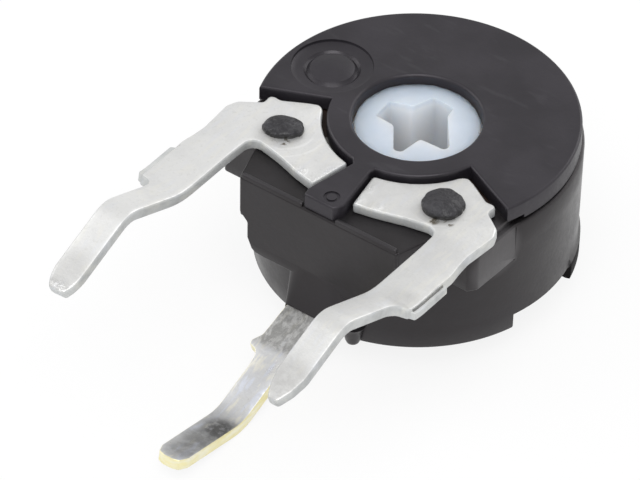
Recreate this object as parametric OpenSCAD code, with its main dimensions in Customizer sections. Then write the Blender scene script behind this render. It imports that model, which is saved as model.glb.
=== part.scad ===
// A 6 mm carbon trimmer potentiometer, lying on its back.
// Origin: on the rotor's axis, in the plane of the back rest face.
// +Z comes out of the adjustment face and the terminals run along -Y. Millimetres.

/* [Body] */
// Radius of the top cover
cover_r = 3.15; // [2.95:0.05:3.4]
// Height from the rest face to the top of the cover
body_h = 3.12; // [3:0.02:3.6]
// Thickness of the cover
cover_t = 0.32; // [0.25:0.01:0.36]
// Radius of the housing's barrel
barrel_r = 3.2; // [3.1:0.05:3.4]
// Angle at which the cover's windows begin, below the X axis
window_a = 18; // [12:1:24]
// Half of the width of the rib between the windows, at its front end
rib_w = 0.47; // [0.4:0.01:0.5]
// Height of the step in the barrel that the cover's rim closes over
groove_h = 0.14; // [0.08:0.02:0.3]
// Height of the skirt under the floor
skirt_h = 0.36; // [0.3:0.01:0.5]
// Wall thickness of the skirt
skirt_t = 0.6; // [0.4:0.05:0.8]
// Half of the width of the channel that runs across through the skirt
skirt_y = 0.9; // [0.6:0.05:1.2]
// Thickness of the floor under the chamber
floor_t = 0.54; // [0.45:0.01:0.6]

/* [Front] */
// Half of the width of the front block, at its flat front wall
block_x = 1.86; // [1.76:0.02:1.92]
// Distance of the flat front wall from the axis
front_y = 3.16; // [3.08:0.02:3.2]
// Half of the width over the ears that carry the outer terminals
ear_x = 3; // [2.9:0.02:3.1]
// Distance of the front of the ears from the axis
ear_y = 2.28; // [2.2:0.02:2.4]
// Height of the ears, measured down from the deck
ear_h = 1; // [0.7:0.05:1.1]
// Distance from the axis to the tip of the nose over the middle terminal
nose_y = 3.45; // [3.3:0.05:3.6]

/* [Rotor] */
// Radius of the hole in the cover
hole_r = 1.25; // [1.2:0.01:1.35]
// Radial gap between the rotor and what it turns in
turn_gap = 0.05; // [0.02:0.01:0.07]
// Radius of the rotor's lower journal
journal_r = 0.9; // [0.7:0.02:0.96]
// Radius of the rotor's hub
hub_r = 1.5; // [1.45:0.01:1.53]
// Depth of the drive recess below the cover's top
socket_d = 1.5; // [1:0.05:1.6]
// Turn of the rotor from one stop to the other
travel = 235; // [200:5:240]
// Half of the angle of the rotor's stop lug
lug_half = 24; // [22:1:28]

/* [Track] */
// Thickness of the track's base
base_t = 0.35; // [0.25:0.01:0.4]
// Margin between the track's edges and the edges of its base
track_edge = 0.1; // [0.06:0.02:0.14]
// Width of the carbon track
track_w = 0.4; // [0.3:0.02:0.5]
// Angle between the two ends of the track's base, at the front
base_gap = 60; // [50:2:64]
// Angle that each end contact covers
contact_a = 15; // [10:1:20]
// Thickness of the printed carbon and of its end contacts
film_t = 0.05; // [0.03:0.01:0.06]

/* [Terminals] */
// Distance between the two outer pins
pin_pitch = 5.08; // [5:0.01:5.16]
// Width of a pin
pin_w = 0.64; // [0.56:0.02:0.7]
// Thickness of the outer terminals' strip
strip_t = 0.23; // [0.18:0.01:0.26]
// Thickness of the middle terminal's strip
wiper_t = 0.2; // [0.16:0.01:0.25]
// Half of the width over the outer terminals' plates
plate_x = 3.14; // [3.06:0.02:3.2]
// Half of the width over the outer terminals' shoulders
shoulder_x = 3.27; // [3.2:0.01:3.4]
// Distance of the plates' front corners from the rotor's axis, beside the rib
plate_y = 2.7; // [2.6:0.02:2.9]
// Distance of the plates' outer back corners from the rotor's axis
corner_y = 1.57; // [1.5:0.01:1.65]
// Distance of the crook between plate and pin from the rotor's axis
crook_y = 2.33; // [2.25:0.02:2.5]
// Distance of the seating shoulders from the rotor's axis
seat_y = 4.44; // [4.2:0.02:4.7]
// Length of the pins beyond the seating shoulders
pin_len = 3.48; // [3:0.02:3.8]
// Height of the outer pins' kink
kink_h = 0.62; // [0.4:0.02:0.7]
// Drop of the middle pin's kink
kink_drop = 0.57; // [0.4:0.01:0.7]
// Radius of the rivets that hold the outer terminals
rivet_r = 0.3; // [0.2:0.01:0.32]
// Radius of a rivet's melted head
head_r = 0.42; // [0.38:0.01:0.46]
// Height of a rivet's melted head
head_h = 0.2; // [0.14:0.01:0.26]

/* [Hidden] */
e = 0.01;                                 // overreach that keeps cuts clean
big = 4 * cover_r;                        // longer than any piece
fit = 0.01;                               // gap between pieces that only lie together
cover_z = body_h - cover_t;               // underside of the cover
deck_z = cover_z;                         // deck under the outer terminals
floor_z = skirt_h + floor_t;              // inside floor of the chamber
base_z = deck_z - film_t - base_t;        // underside of the track's base
film_z = base_z - film_t;                 // underside of the printed carbon
base_ri = hub_r + 0.1;                    // inner radius of the track's base
track_ri = base_ri + track_edge;          // inner radius of the carbon track
track_ro = track_ri + track_w;            // outer radius of the carbon track
ledge_r = track_ro + 0.18;                // inner edge of the ledge under the base
chamber_r = ledge_r + 0.22;               // radius of the chamber inside the housing
block_z = deck_z - 0.88;                  // shelf line where the front block steps in
block_foot = floor_z + 0.17;              // foot of the front block
step_w = 0.18;                            // width of that step
rivet = [1.87, -1.72];                    // place of the right rivet
draft = 0.07;                             // the barrel is this much thinner at its foot
mark = [-2.2, 0.22];                      // place of the round mark on the cover
mark_r = 0.79;                            // radius of the mark's shallow dish
button_r = 0.5;                           // radius of the button in that dish
mark_d = 0.1;                             // depth of the dish
ring_r = 1.73;                            // ring of the cover around the hole
plate_z = deck_z + strip_t;               // top of the outer terminals
collector_z = floor_z + 0.2;              // top of the wiper terminal's ring
exit_z = floor_z - 0.43;                  // top of the middle terminal where it leaves
neck_r = cover_r - 0.16;                  // radius of the barrel's neck inside the cover's rim
wall_y = 0.86;                            // the round wall ends here, above the ears' foot
stop_half = (360 - travel) / 2 - lug_half;    // half of the angle of the fixed stop
lug_ro = hub_r + 0.16;                    // outer radius of the rotor's lug
stop_ri = hub_r + turn_gap + 0.02;        // inner radius of the fixed stop
face_z = body_h - 0.19;                   // edge of the rotor's face
spring_t = 0.1;                           // thickness of the wiper spring
spring_z = collector_z + 0.2;             // underside of the wiper spring's ring
hub_z = spring_z + spring_t;              // underside of the rotor's hub
touch = 0.02;                             // gap kept at the sliding contacts

// ---- helpers ---------------------------------------------------------------
module both_sides() {
    children();
    mirror([1, 0, 0]) children();
}

// a flat ring sector from angle a0 to a1, standing on z = 0
module sector(ri, ro, a0, a1, h) {
    rotate([0, 0, a0]) rotate_extrude(angle = a1 - a0, $fn = 96)
        translate([ri, 0]) square([ro - ri, h]);
}

// a low dome of radius r and height h, standing on z = 0
module dome(r, h) {
    sphere_r = (r * r + h * h) / (2 * h);
    rotate_extrude($fn = 64) intersection() {
        translate([0, h - sphere_r]) circle(sphere_r, $fn = 128);
        square([r, h]);
    }
}

// the point at radius r and angle a
function polar(r, a) = [r * cos(a), r * sin(a)];

// unit vector from a to b, and its left-hand normal
function unit(a, b) = (b - a) / norm(b - a);
function normal(u) = [-u.y, u.x];

// a path with its inner corners rounded, d before and after each corner
function rounded(p, d, n = 5) = concat([p[0]],
    [for (i = [1:len(p) - 2])
        let (a = p[i] + d * unit(p[i], p[i - 1]), b = p[i] + d * unit(p[i], p[i + 1]))
        for (k = [0:n]) let (s = k / n) (1 - s) * (1 - s) * a + 2 * s * (1 - s) * p[i] + s * s * b],
    [p[len(p) - 1]]);

// the path moved sideways by t, against its left-hand normal
function beside(p, t) = [for (i = [0:len(p) - 1])
    let (a = p[max(i - 1, 0)], b = p[min(i + 1, len(p) - 1)]) p[i] - t * normal(unit(b, a))];

// a strip of thickness t and width w, bent along its top face's path of [y, z] points
module bent_strip(path, t, w, bend = 0.3) {
    top = rounded(path, bend);
    under = beside(top, t);
    rotate([90, 0, 90]) translate([0, 0, -w / 2]) linear_extrude(w)
        polygon(concat(top, [for (i = [len(under) - 1:-1:0]) under[i]]));
}

// ---- housing ---------------------------------------------------------------
// plan of the front at deck height, right of the middle
front_plan = [[0, 0], [ear_x, -wall_y + 0.12], [ear_x, -ear_y + 0.17],
    [ear_x - 0.13, -ear_y], [block_x + 0.27, -ear_y], [block_x, -front_y], [0, -front_y]];

// the areas of the cover's two windows, where the deck lies open
module windows() {
    both_sides() polygon([[0, 0], polar(ring_r, -window_a), polar(cover_r, -window_a - 2.8),
        polar(big, -window_a - 2.8), [big, -big], [rib_w, -big], [rib_w, -front_y],
        [0.54 * rib_w, -ring_r - 0.16]]);
}

module barrel() {
    neck_z = cover_z - groove_h;
    difference() {
        cylinder(r1 = barrel_r - draft, r2 = barrel_r, h = neck_z, $fn = 128);
        translate([0, 0, -e]) cylinder(r = barrel_r - skirt_t, h = skirt_h + e, $fn = 96);
        translate([-big, -skirt_y, -e]) cube([2 * big, 2 * skirt_y, skirt_h + e]);
    }
    translate([0, 0, skirt_h]) cylinder(r = neck_r, h = cover_z - skirt_h, $fn = 128);
}

module ears_and_block() {
    // ears, level with the deck
    translate([0, 0, deck_z - ear_h]) linear_extrude(ear_h)
        both_sides() polygon(front_plan);
    // the block's lower part: narrower, with a sloping step and chamfered foot
    half = block_x - step_w;
    rotate([90, 0, 0]) linear_extrude(front_y) both_sides()
        polygon([[0, block_foot], [half - 0.19, block_foot], [half - 0.1, block_foot + 0.07],
            [half, block_foot + 0.3], [half, block_z - step_w], [block_x, block_z],
            [block_x, deck_z - 0.1], [block_x - 0.06, deck_z - e], [0, deck_z - e]]);
    // raised lip along the deck's front edge
    both_sides() translate([0.5, -front_y, deck_z - e]) cube([block_x - 0.5, 0.1, 0.06]);
}

// nose over the middle terminal's exit: it spreads and falls back as it rises
nose_side = [for (k = [0:8]) let (s = k / 8) [0.54 + 0.5 * s * s, exit_z - 0.06 + 1.1 * s]];
nose_front = [for (k = [0:8]) let (s = k / 8) [-front_y - (nose_y - front_y) * (1 - s) * (1 - s),
    exit_z + 1.1 * s]];
module nose() {
    intersection() {
        rotate([90, 0, 0]) linear_extrude(big) both_sides()
            polygon(concat([[0, exit_z - 0.06]], nose_side, [[0, exit_z + 1.1]]));
        rotate([90, 0, 90]) translate([0, 0, -2]) linear_extrude(4)
            polygon(concat([[-2.5, exit_z - 0.06], [-nose_y + 0.04, exit_z - 0.06]], nose_front,
                [[-2.5, exit_z + 1.1]]));
    }
}

module foot() {
    translate([0.84, -barrel_r + 0.2, 0]) cylinder(r1 = 0.16, r2 = 0.2, h = 0.3, $fn = 24);
}

// pegs that go through the outer terminals, with their melted heads
module pegs() {
    both_sides() translate([rivet.x, rivet.y, 0]) {
        translate([0, 0, floor_z - e]) cylinder(r = rivet_r + 0.06, h = base_z - floor_z + e, $fn = 48);
        translate([0, 0, floor_z]) cylinder(r = rivet_r, h = plate_z - floor_z + e, $fn = 48);
        translate([0, 0, plate_z]) cylinder(r = head_r, h = head_h / 2 + e, $fn = 64);
        translate([0, 0, plate_z + head_h / 2]) dome(head_r, head_h / 2);
    }
}

module housing() {
    color([0.09, 0.09, 0.10]) {
        difference() {
            union() {
                difference() {
                    barrel();
                    // the round wall is cut back above the ears' foot
                    translate([0, 0, deck_z - ear_h]) linear_extrude(big)
                        translate([-big, -big - wall_y]) square([2 * big, big]);
                }
                ears_and_block();
                nose();
                foot();
            }
            // chamber, with a ledge for the track's base, open to the cover
            difference() {
                union() {
                    translate([0, 0, floor_z]) cylinder(r = ledge_r, h = big, $fn = 96);
                    translate([0, 0, base_z]) cylinder(r = chamber_r, h = big, $fn = 96);
                }
                // the fixed stop, and the solid front between the ends of the track's base
                translate([0, 0, floor_z - e])
                    sector(stop_ri, big, -90 - stop_half, -90 + stop_half, film_z - touch - floor_z + e);
                translate([0, 0, film_z - touch - e])
                    sector(stop_ri, big, -89 - base_gap / 2, -91 + base_gap / 2, deck_z - film_z + touch + e);
            }
            // bearing for the rotor's journal
            translate([0, 0, -e]) cylinder(r = journal_r + turn_gap, h = big, $fn = 64);
            wiper_strip();
            collector();
        }
        pegs();
    }
}

// ---- cover -------------------------------------------------------------------
module cover() {
    soft = 0.08;                           // radius of its rounded rim
    color([0.13, 0.13, 0.14])
    difference() {
        translate([0, 0, cover_z]) {
            difference() {
                rotate_extrude($fn = 128) {
                    square([cover_r - soft, cover_t]);
                    square([cover_r, cover_t - soft]);
                    translate([cover_r - soft, cover_t - soft]) circle(soft, $fn = 32);
                }
                translate([0, 0, -e]) linear_extrude(1) windows();
                // the rib stops short of the front wall
                translate([-big, -big - front_y + 0.12, -e]) cube([2 * big, big, 1]);
            }
            cylinder(r = ring_r, h = cover_t, $fn = 96);
            // the rim closes over the barrel's neck, all but a shadow line
            difference() {
                translate([0, 0, 0.04 - groove_h]) cylinder(r = cover_r, h = groove_h, $fn = 128);
                translate([0, 0, -1]) cylinder(r = neck_r + fit, h = 2, $fn = 128);
                translate([-big, -big - wall_y + 0.13, -1]) cube([2 * big, big, 2]);
            }
        }
        translate([0, 0, cover_z - 1]) cylinder(r = hole_r, h = 2, $fn = 96);
        // the round mark: a dish with a button in it
        translate([mark.x, mark.y, body_h - mark_d]) difference() {
            cylinder(r = mark_r, h = 1, $fn = 64);
            dome(button_r, mark_d + 0.01);
        }
    }
}

// ---- resistive element -----------------------------------------------------
base_a0 = -90 + base_gap / 2;              // the base runs from here ...
base_a1 = 270 - base_gap / 2;              // ... round the back to here

module track_substrate() {
    color([0.42, 0.27, 0.16])
    translate([0, 0, base_z]) difference() {
        sector(base_ri, chamber_r - fit, base_a0, base_a1, base_t);
        both_sides() translate([rivet.x, rivet.y, -e]) cylinder(r = rivet_r + 0.03, h = 1, $fn = 48);
        // flats where the end contacts wrap round the two ends
        both_sides() end_contact_space();
    }
}

module end_contact_space() {
    translate([0, 0, -e]) sector(track_ri, track_ro, base_a0 - 2, base_a0 + 1.5, 1);
}

module carbon_track() {
    color([0.06, 0.06, 0.07])
    translate([0, 0, film_z]) sector(track_ri, track_ro, base_a0 + contact_a, base_a1 - contact_a, film_t);
}

// silver contact at one end of the track: under the base, round its end and onto its top
module end_contact() {
    translate([0, 0, film_z]) {
        sector(track_ri, track_ro, base_a0, base_a0 + contact_a, film_t);
        sector(track_ri, track_ro, base_a0, base_a0 + 1.5, base_t + 2 * film_t);
        translate([0, 0, base_t + film_t]) sector(track_ri, track_ro, base_a0, base_a0 + contact_a, film_t);
    }
}
module right_end_contact() { color([0.72, 0.73, 0.74]) end_contact(); }
module left_end_contact() { color([0.72, 0.73, 0.74]) mirror([1, 0, 0]) end_contact(); }

// ---- outer terminals -------------------------------------------------------
tip_y = seat_y + pin_len;
pin_in = pin_pitch / 2 - pin_w / 2;
pin_out = pin_pitch / 2 + pin_w / 2;

module terminal_plan() {
    difference() {
        polygon([[0.31, -ring_r - 0.13], [rib_w, -plate_y], [2 * rib_w, -plate_y + 0.1],
            [1.5, -crook_y - 0.1], [pin_in - 0.24, -crook_y], [pin_in - 0.1, -crook_y - 0.03],
            [pin_in - 0.02, -crook_y - 0.14], [pin_in, -crook_y - 0.55], [pin_in, -tip_y + 0.6],
            [pin_in + 0.07, -tip_y + 0.28], [pin_in + 0.2, -tip_y], [pin_out - 0.22, -tip_y],
            [pin_out - 0.08, -tip_y + 0.28], [pin_out, -tip_y + 0.6], [pin_out, -seat_y - 0.25],
            [pin_out + 0.09, -seat_y - 0.12], [shoulder_x - 0.07, -seat_y - 0.08],
            [shoulder_x, -seat_y], [shoulder_x, -seat_y + 0.94],
            [shoulder_x - 0.05, -seat_y + 1.24], [plate_x, -crook_y - 0.57],
            [plate_x - 0.03, -crook_y - 0.27], [plate_x + 0.03, -corner_y - 0.28],
            [plate_x - 0.07, -corner_y - 0.05], [plate_x - 0.48, -corner_y + 0.23],
            [plate_x - 0.46, -corner_y + 0.43], [plate_x - 0.55, -corner_y + 0.49],
            [plate_x - 0.7, -corner_y + 0.47], [1.95, -corner_y + 0.74], [1.76, -corner_y + 0.82],
            [1, -corner_y + 0.67]]);
        circle(ring_r + 0.1, $fn = 96);
        translate([rivet.x, rivet.y]) circle(rivet_r + fit, $fn = 48);
    }
}
// tip_z is the height of the pin's tip
module outer_terminal(tip_z) {
    intersection() {
        linear_extrude(big) terminal_plan();
        bent_strip([[0, plate_z], [-seat_y, plate_z], [-seat_y - 1.6, plate_z + kink_h], [-tip_y, tip_z]],
            strip_t, big);
    }
}
module right_terminal() { color([0.82, 0.83, 0.81]) outer_terminal(plate_z - 0.12); }
module left_terminal() { color([0.82, 0.83, 0.81]) mirror([1, 0, 0]) outer_terminal(plate_z - 0.15); }

// ---- wiper terminal ---------------------------------------------------------
// ring that the wiper spring slides on
collector_ri = 1.02;
collector_ro = 1.46;
wiper_tip = tip_y - 0.16;
module collector() {
    translate([0, 0, collector_z - 0.2])
        sector(collector_ri, collector_ro, 0, 360, 0.2);
}
// strip from the ring through the housing to the tip of the pin
module wiper_strip() {
    intersection() {
        translate([0, 0, -big / 2]) linear_extrude(big) both_sides()
            polygon([[0, -1.2], [0.45, -1.2], [0.51, -nose_y], [0.49, -seat_y + 0.25],
                [0.6, -seat_y + 0.05], [0.58, -seat_y - 0.04], [0.42, -seat_y - 0.08],
                [0.34, -seat_y - 0.2], [pin_w / 2, -seat_y - 0.4],
                [pin_w / 2, -wiper_tip + 0.24], [pin_w / 2 - 0.08, -wiper_tip + 0.05], [0.1, -wiper_tip],
                [0, -wiper_tip]]);
        bent_strip([[-1.2, collector_z], [-2.3, collector_z], [-3.1, exit_z + 0.08], [-seat_y, exit_z - 0.26],
            [-seat_y - 1.42, exit_z - 0.26 - kink_drop], [-wiper_tip, exit_z - 0.53]], wiper_t, big, 0.25);
    }
}
module wiper_terminal() {
    color([0.84, 0.82, 0.70]) difference() {
        union() {
            collector();
            wiper_strip();
        }
        translate([0, 0, -big]) cylinder(r = collector_ri, h = 2 * big, $fn = 96);
    }
}

// ---- rotor ----------------------------------------------------------------------
// drive recess: a cross whose arms at the back are wide and whose front arms narrow
module socket_plan() {
    polygon([[0.32, -0.34], [0.25, -0.85], [0.09, -0.89], [-0.33, -0.32], [-0.79, -0.28], [-0.83, 0.22],
        [-0.38, 0.36], [-0.22, 0.83], [0.28, 0.80], [0.33, 0.52], [0.89, -0.16], [0.85, -0.30]]);
}
module rotor() {
    color([0.86, 0.89, 0.93])
    difference() {
        union() {
            translate([0, 0, skirt_h + 0.03]) cylinder(r = journal_r, h = hub_z - skirt_h, $fn = 64);
            translate([0, 0, hub_z]) cylinder(r = hub_r, h = cover_z - 0.06 - hub_z, $fn = 96);
            translate([0, 0, hub_z]) cylinder(r = hole_r - turn_gap, h = face_z - hub_z, $fn = 96);
            translate([0, 0, face_z]) dome(hole_r - turn_gap, 0.04);
            // lug that meets the fixed stop
            translate([0, 0, hub_z]) sector(hub_r - 0.2, lug_ro, 90 - lug_half, 90 + lug_half, 0.5);
        }
        translate([0, 0, body_h - socket_d]) linear_extrude(big) socket_plan();
    }
}

// ---- wiper spring ------------------------------------------------------------
// one stamped piece: a ring under the hub, two brushes up to the track, two feet on the collector
module wiper_spring() {
    brush_y = (track_ri + track_ro) / 2;
    reach = 0.66;                           // half of the brushes' spread
    color([0.80, 0.62, 0.28]) {
        translate([0, 0, spring_z]) sector(journal_r + fit, hub_r - 0.02, 0, 360, spring_t);
        translate([-0.25, hub_r - 0.15, spring_z]) cube([0.5, brush_y - hub_r + 0.3, spring_t]);
        // brushes: a shallow V that rises from the tab to the carbon
        translate([0, brush_y + 0.15, 0]) rotate([90, 0, 0]) linear_extrude(0.3) both_sides()
            polygon([[0, spring_z], [0.25, spring_z], [reach, film_z - touch - spring_t],
                [reach + 0.06, film_z - touch],
                [reach - 0.08, film_z - touch], [0.2, spring_z + spring_t], [0, spring_z + spring_t]]);
        // feet on the collector ring
        both_sides() translate([0, -1.24, 0]) rotate([90, 0, 0]) translate([0, 0, -0.12]) linear_extrude(0.24)
            polygon([[0.1, spring_z], [0.4, collector_z + touch], [0.55, collector_z + touch],
                [0.3, spring_z + e]]);
    }
}

housing();
cover();
track_substrate();
carbon_track();
left_end_contact();
right_end_contact();
left_terminal();
right_terminal();
wiper_terminal();
rotor();
wiper_spring();
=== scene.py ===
"""A 6 mm carbon trimmer potentiometer lying on its back.

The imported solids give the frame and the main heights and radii. The visible pieces are modelled
again in it with their rounded edges, sheet-metal corners and melted rivet heads, and every piece
gets its own finish.
Lengths are in millimetres while a piece is being shaped, and in metres once it is an object.
"""

import logging
import math
from dataclasses import dataclass
from enum import Enum
from typing import Callable, Mapping, Sequence

import bmesh
import bpy
from mathutils import Matrix, Vector, noise

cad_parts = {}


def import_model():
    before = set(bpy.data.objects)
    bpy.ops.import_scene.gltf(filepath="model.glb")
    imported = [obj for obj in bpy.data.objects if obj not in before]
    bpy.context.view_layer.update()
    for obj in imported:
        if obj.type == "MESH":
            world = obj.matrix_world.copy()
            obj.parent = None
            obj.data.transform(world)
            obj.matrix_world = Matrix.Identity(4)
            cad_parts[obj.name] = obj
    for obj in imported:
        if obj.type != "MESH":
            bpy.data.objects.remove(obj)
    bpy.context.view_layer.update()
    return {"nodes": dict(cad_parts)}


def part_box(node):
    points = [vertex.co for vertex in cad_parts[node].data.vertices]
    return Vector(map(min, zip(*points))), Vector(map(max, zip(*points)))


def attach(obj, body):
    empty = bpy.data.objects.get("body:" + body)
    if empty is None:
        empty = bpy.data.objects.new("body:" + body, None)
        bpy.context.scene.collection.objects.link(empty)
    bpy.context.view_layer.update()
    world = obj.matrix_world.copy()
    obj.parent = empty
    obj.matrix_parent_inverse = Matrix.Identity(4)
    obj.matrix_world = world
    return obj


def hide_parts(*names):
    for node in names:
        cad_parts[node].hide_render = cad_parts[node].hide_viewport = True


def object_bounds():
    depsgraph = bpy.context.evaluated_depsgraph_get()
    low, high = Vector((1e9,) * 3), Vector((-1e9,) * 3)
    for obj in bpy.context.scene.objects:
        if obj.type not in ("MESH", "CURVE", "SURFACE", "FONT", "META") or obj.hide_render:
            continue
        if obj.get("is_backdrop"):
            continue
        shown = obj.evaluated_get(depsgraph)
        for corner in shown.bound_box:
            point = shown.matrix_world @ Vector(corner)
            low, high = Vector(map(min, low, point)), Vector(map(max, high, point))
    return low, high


log = logging.getLogger("trimmer")

Point2 = tuple[float, float]
Point3 = tuple[float, float, float]
Colour = tuple[float, float, float]
Ball = tuple[Point3, float, float, float]  # centre, radius, fade and strength of a stain
Element = bmesh.types.BMVert | bmesh.types.BMEdge | bmesh.types.BMFace
Socket = bpy.types.NodeSocket

MM = 0.001
RIVET: Point2 = (1.87, -1.72)


# ---------------------------------------------------------------- shaping in millimetres


def polar(radius: float, angle: float) -> Point2:
    """Gives the point at that radius and angle in degrees."""
    return radius * math.cos(math.radians(angle)), radius * math.sin(math.radians(angle))


def arc(radius: float, start: float, end: float, steps: int) -> list[Point2]:
    """Gives points along an arc round the origin.

    Args:
        radius: radius of the arc.
        start: first angle in degrees.
        end: last angle in degrees.
        steps: number of pieces the arc is cut into.

    Returns:
        steps + 1 points, both ends included.
    """
    return [polar(radius, start + (end - start) * k / steps) for k in range(steps + 1)]


def rectangle(left: float, low: float, right: float, high: float) -> list[Point2]:
    """Gives the four corners of a rectangle."""
    return [(left, low), (right, low), (right, high), (left, high)]


def both_halves(half: Sequence[Point2]) -> list[Point2]:
    """Completes an outline with the mirror image of its right half."""
    return [*half, *((-x, y) for x, y in reversed(half))]


def rounded(corners: Sequence[Point2], radius: float, steps: int = 4, closed: bool = True) -> list[Point2]:
    """Rounds the corners of an outline.

    Args:
        corners: the outline's corners in order.
        radius: how far before and after each corner its rounding starts.
        steps: pieces in each rounding.
        closed: whether the last corner joins the first one.

    Returns:
        The new outline.
    """
    out: list[Point2] = []
    count = len(corners)
    for i, corner in enumerate(corners):
        if not closed and i in (0, count - 1):
            out.append(corner)
            continue
        here = Vector(corner)
        before = Vector(corners[i - 1]) - here
        after = Vector(corners[(i + 1) % count]) - here
        reach = min(radius, before.length * 0.45, after.length * 0.45)
        a, b = here + before.normalized() * reach, here + after.normalized() * reach
        for k in range(steps + 1):
            s = k / steps
            out.append(tuple((1 - s) ** 2 * a + 2 * s * (1 - s) * here + s * s * b))
    return out


def add_object(name: str, data: bpy.types.ID) -> bpy.types.Object:
    """Puts something in the scene.

    Args:
        name: name of its object.
        data: a mesh, a lamp or a camera.

    Returns:
        The new object, at the origin.
    """
    made = bpy.data.objects.new(name, data)
    bpy.context.scene.collection.objects.link(made)
    return made


class Solid:
    """A closed mesh under construction, in millimetres."""

    def __init__(self) -> None:
        """Starts with nothing."""
        self.bm = bmesh.new()

    @classmethod
    def prism(cls, plan: Sequence[Point2], low: float, high: float) -> "Solid":
        """Extrudes a flat outline straight up.

        Args:
            plan: outline in X and Y.
            low: height of its underside.
            high: height of its top.

        Returns:
            The closed prism.
        """
        solid = cls()
        verts = [solid.bm.verts.new((x, y, low)) for x, y in plan]
        face = solid.bm.faces.new(verts)
        made = bmesh.ops.extrude_face_region(solid.bm, geom=[face])
        top = [v for v in made["geom"] if isinstance(v, bmesh.types.BMVert)]
        bmesh.ops.translate(solid.bm, verts=top, vec=(0, 0, high - low))
        return solid.outward()

    @classmethod
    def turned(cls, profile: Sequence[Point2], steps: int) -> "Solid":
        """Turns a profile all the way round the Z axis.

        Args:
            profile: points of radius and height. A profile that doesn't reach the axis is a ring's
                section and is closed on itself.
            steps: pieces round the turn.

        Returns:
            The closed turned solid.
        """
        solid = cls()
        verts = [solid.bm.verts.new((r, 0, z)) for r, z in profile]
        edges = [solid.bm.edges.new(pair) for pair in zip(verts, verts[1:])]
        if profile[0][0] > 1e-6:
            edges.append(solid.bm.edges.new((verts[-1], verts[0])))
        return solid._spin(verts + edges, math.tau, steps)

    @classmethod
    def bar(cls, radius: float, low: float, high: float, steps: int) -> "Solid":
        """Turns a plain round bar."""
        return cls.turned([(0, low), (radius, low), (radius, high), (0, high)], steps)

    @classmethod
    def sector(cls, profile: Sequence[Point2], start: float, end: float, steps: int = 120) -> "Solid":
        """Turns a closed profile through part of a turn.

        Args:
            profile: corners of radius and height.
            start: first angle in degrees.
            end: last angle in degrees.
            steps: pieces round the turn.

        Returns:
            The closed sector.
        """
        solid = cls()
        face = solid.bm.faces.new([solid.bm.verts.new((r, 0, z)) for r, z in profile])
        to_start = Matrix.Rotation(math.radians(start), 3, "Z")
        bmesh.ops.rotate(solid.bm, verts=face.verts[:], cent=(0, 0, 0), matrix=to_start)
        return solid._spin([face, *face.edges, *face.verts], math.radians(end - start), steps)

    def _spin(self, geom: list[Element], angle: float, steps: int) -> "Solid":
        """Spins a section about the Z axis.

        Args:
            geom: the section's parts.
            angle: how far it is spun, in radians. After a full turn its ends are merged.
            steps: pieces round the turn.

        Returns:
            The same solid, closed.
        """
        bmesh.ops.spin(
            self.bm, geom=geom, cent=(0, 0, 0), axis=(0, 0, 1), angle=angle, steps=steps,
            use_merge=angle == math.tau,
        )
        bmesh.ops.remove_doubles(self.bm, verts=self.bm.verts, dist=1e-4)
        return self.outward()

    def outward(self) -> "Solid":
        """Turns every face outwards."""
        bmesh.ops.recalc_face_normals(self.bm, faces=self.bm.faces)
        return self

    def bevel(
        self,
        width: float,
        segments: int = 3,
        angle: float = 30.0,
        only: Callable[[bmesh.types.BMEdge], bool] = lambda edge: True,
    ) -> "Solid":
        """Rounds the sharp edges.

        Args:
            width: width of the rounding.
            segments: pieces across it.
            angle: edges with at least this angle between their faces are sharp.
            only: a further test that an edge has to pass.

        Returns:
            The same solid.
        """
        sharp = [
            e for e in self.bm.edges
            if e.is_manifold and e.calc_face_angle(0.0) > math.radians(angle) and only(e)
        ]
        bmesh.ops.bevel(
            self.bm, geom=sharp, offset=width, offset_type="OFFSET", segments=segments,
            profile=0.5, affect="EDGES", clamp_overlap=True, material=-1,
        )
        return self

    def slice(self, point: Sequence[float], normal: Sequence[float], keep_all: bool = False) -> "Solid":
        """Cuts the solid with a plane.

        Args:
            point: a point of the plane.
            normal: the side that it points to is taken away.
            keep_all: leaves both sides, so that only new edges are made.

        Returns:
            The same solid, closed again.
        """
        geom = [*self.bm.verts, *self.bm.edges, *self.bm.faces]
        cut = bmesh.ops.bisect_plane(
            self.bm, geom=geom, plane_co=point, plane_no=normal, clear_outer=not keep_all, dist=1e-5
        )
        if not keep_all:
            rim = [e for e in cut["geom_cut"] if isinstance(e, bmesh.types.BMEdge)]
            bmesh.ops.holes_fill(self.bm, edges=rim)
            self.outward()
        return self

    def move(self, offset: Sequence[float]) -> "Solid":
        """Moves the solid."""
        bmesh.ops.translate(self.bm, verts=self.bm.verts, vec=offset)
        return self

    def raise_up(self) -> "Solid":
        """Turns the solid a quarter about the X axis, so that its Y points up."""
        bmesh.ops.rotate(self.bm, verts=self.bm.verts, matrix=Matrix.Rotation(math.tau / 4, 3, "X"))
        return self

    def mirrored(self) -> "Solid":
        """Gives a copy with left and right exchanged.

        Returns:
            The mirrored solid.
        """
        other = Solid()
        other.bm = self.bm.copy()
        bmesh.ops.scale(other.bm, verts=other.bm.verts, vec=(-1, 1, 1))
        bmesh.ops.reverse_faces(other.bm, faces=other.bm.faces)
        return other

    def join(self, *others: "Solid") -> "Solid":
        """Joins other solids to this one."""
        return self._combine(others, "UNION")

    def cut(self, *others: "Solid") -> "Solid":
        """Cuts other solids out of this one."""
        return self._combine(others, "DIFFERENCE")

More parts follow.
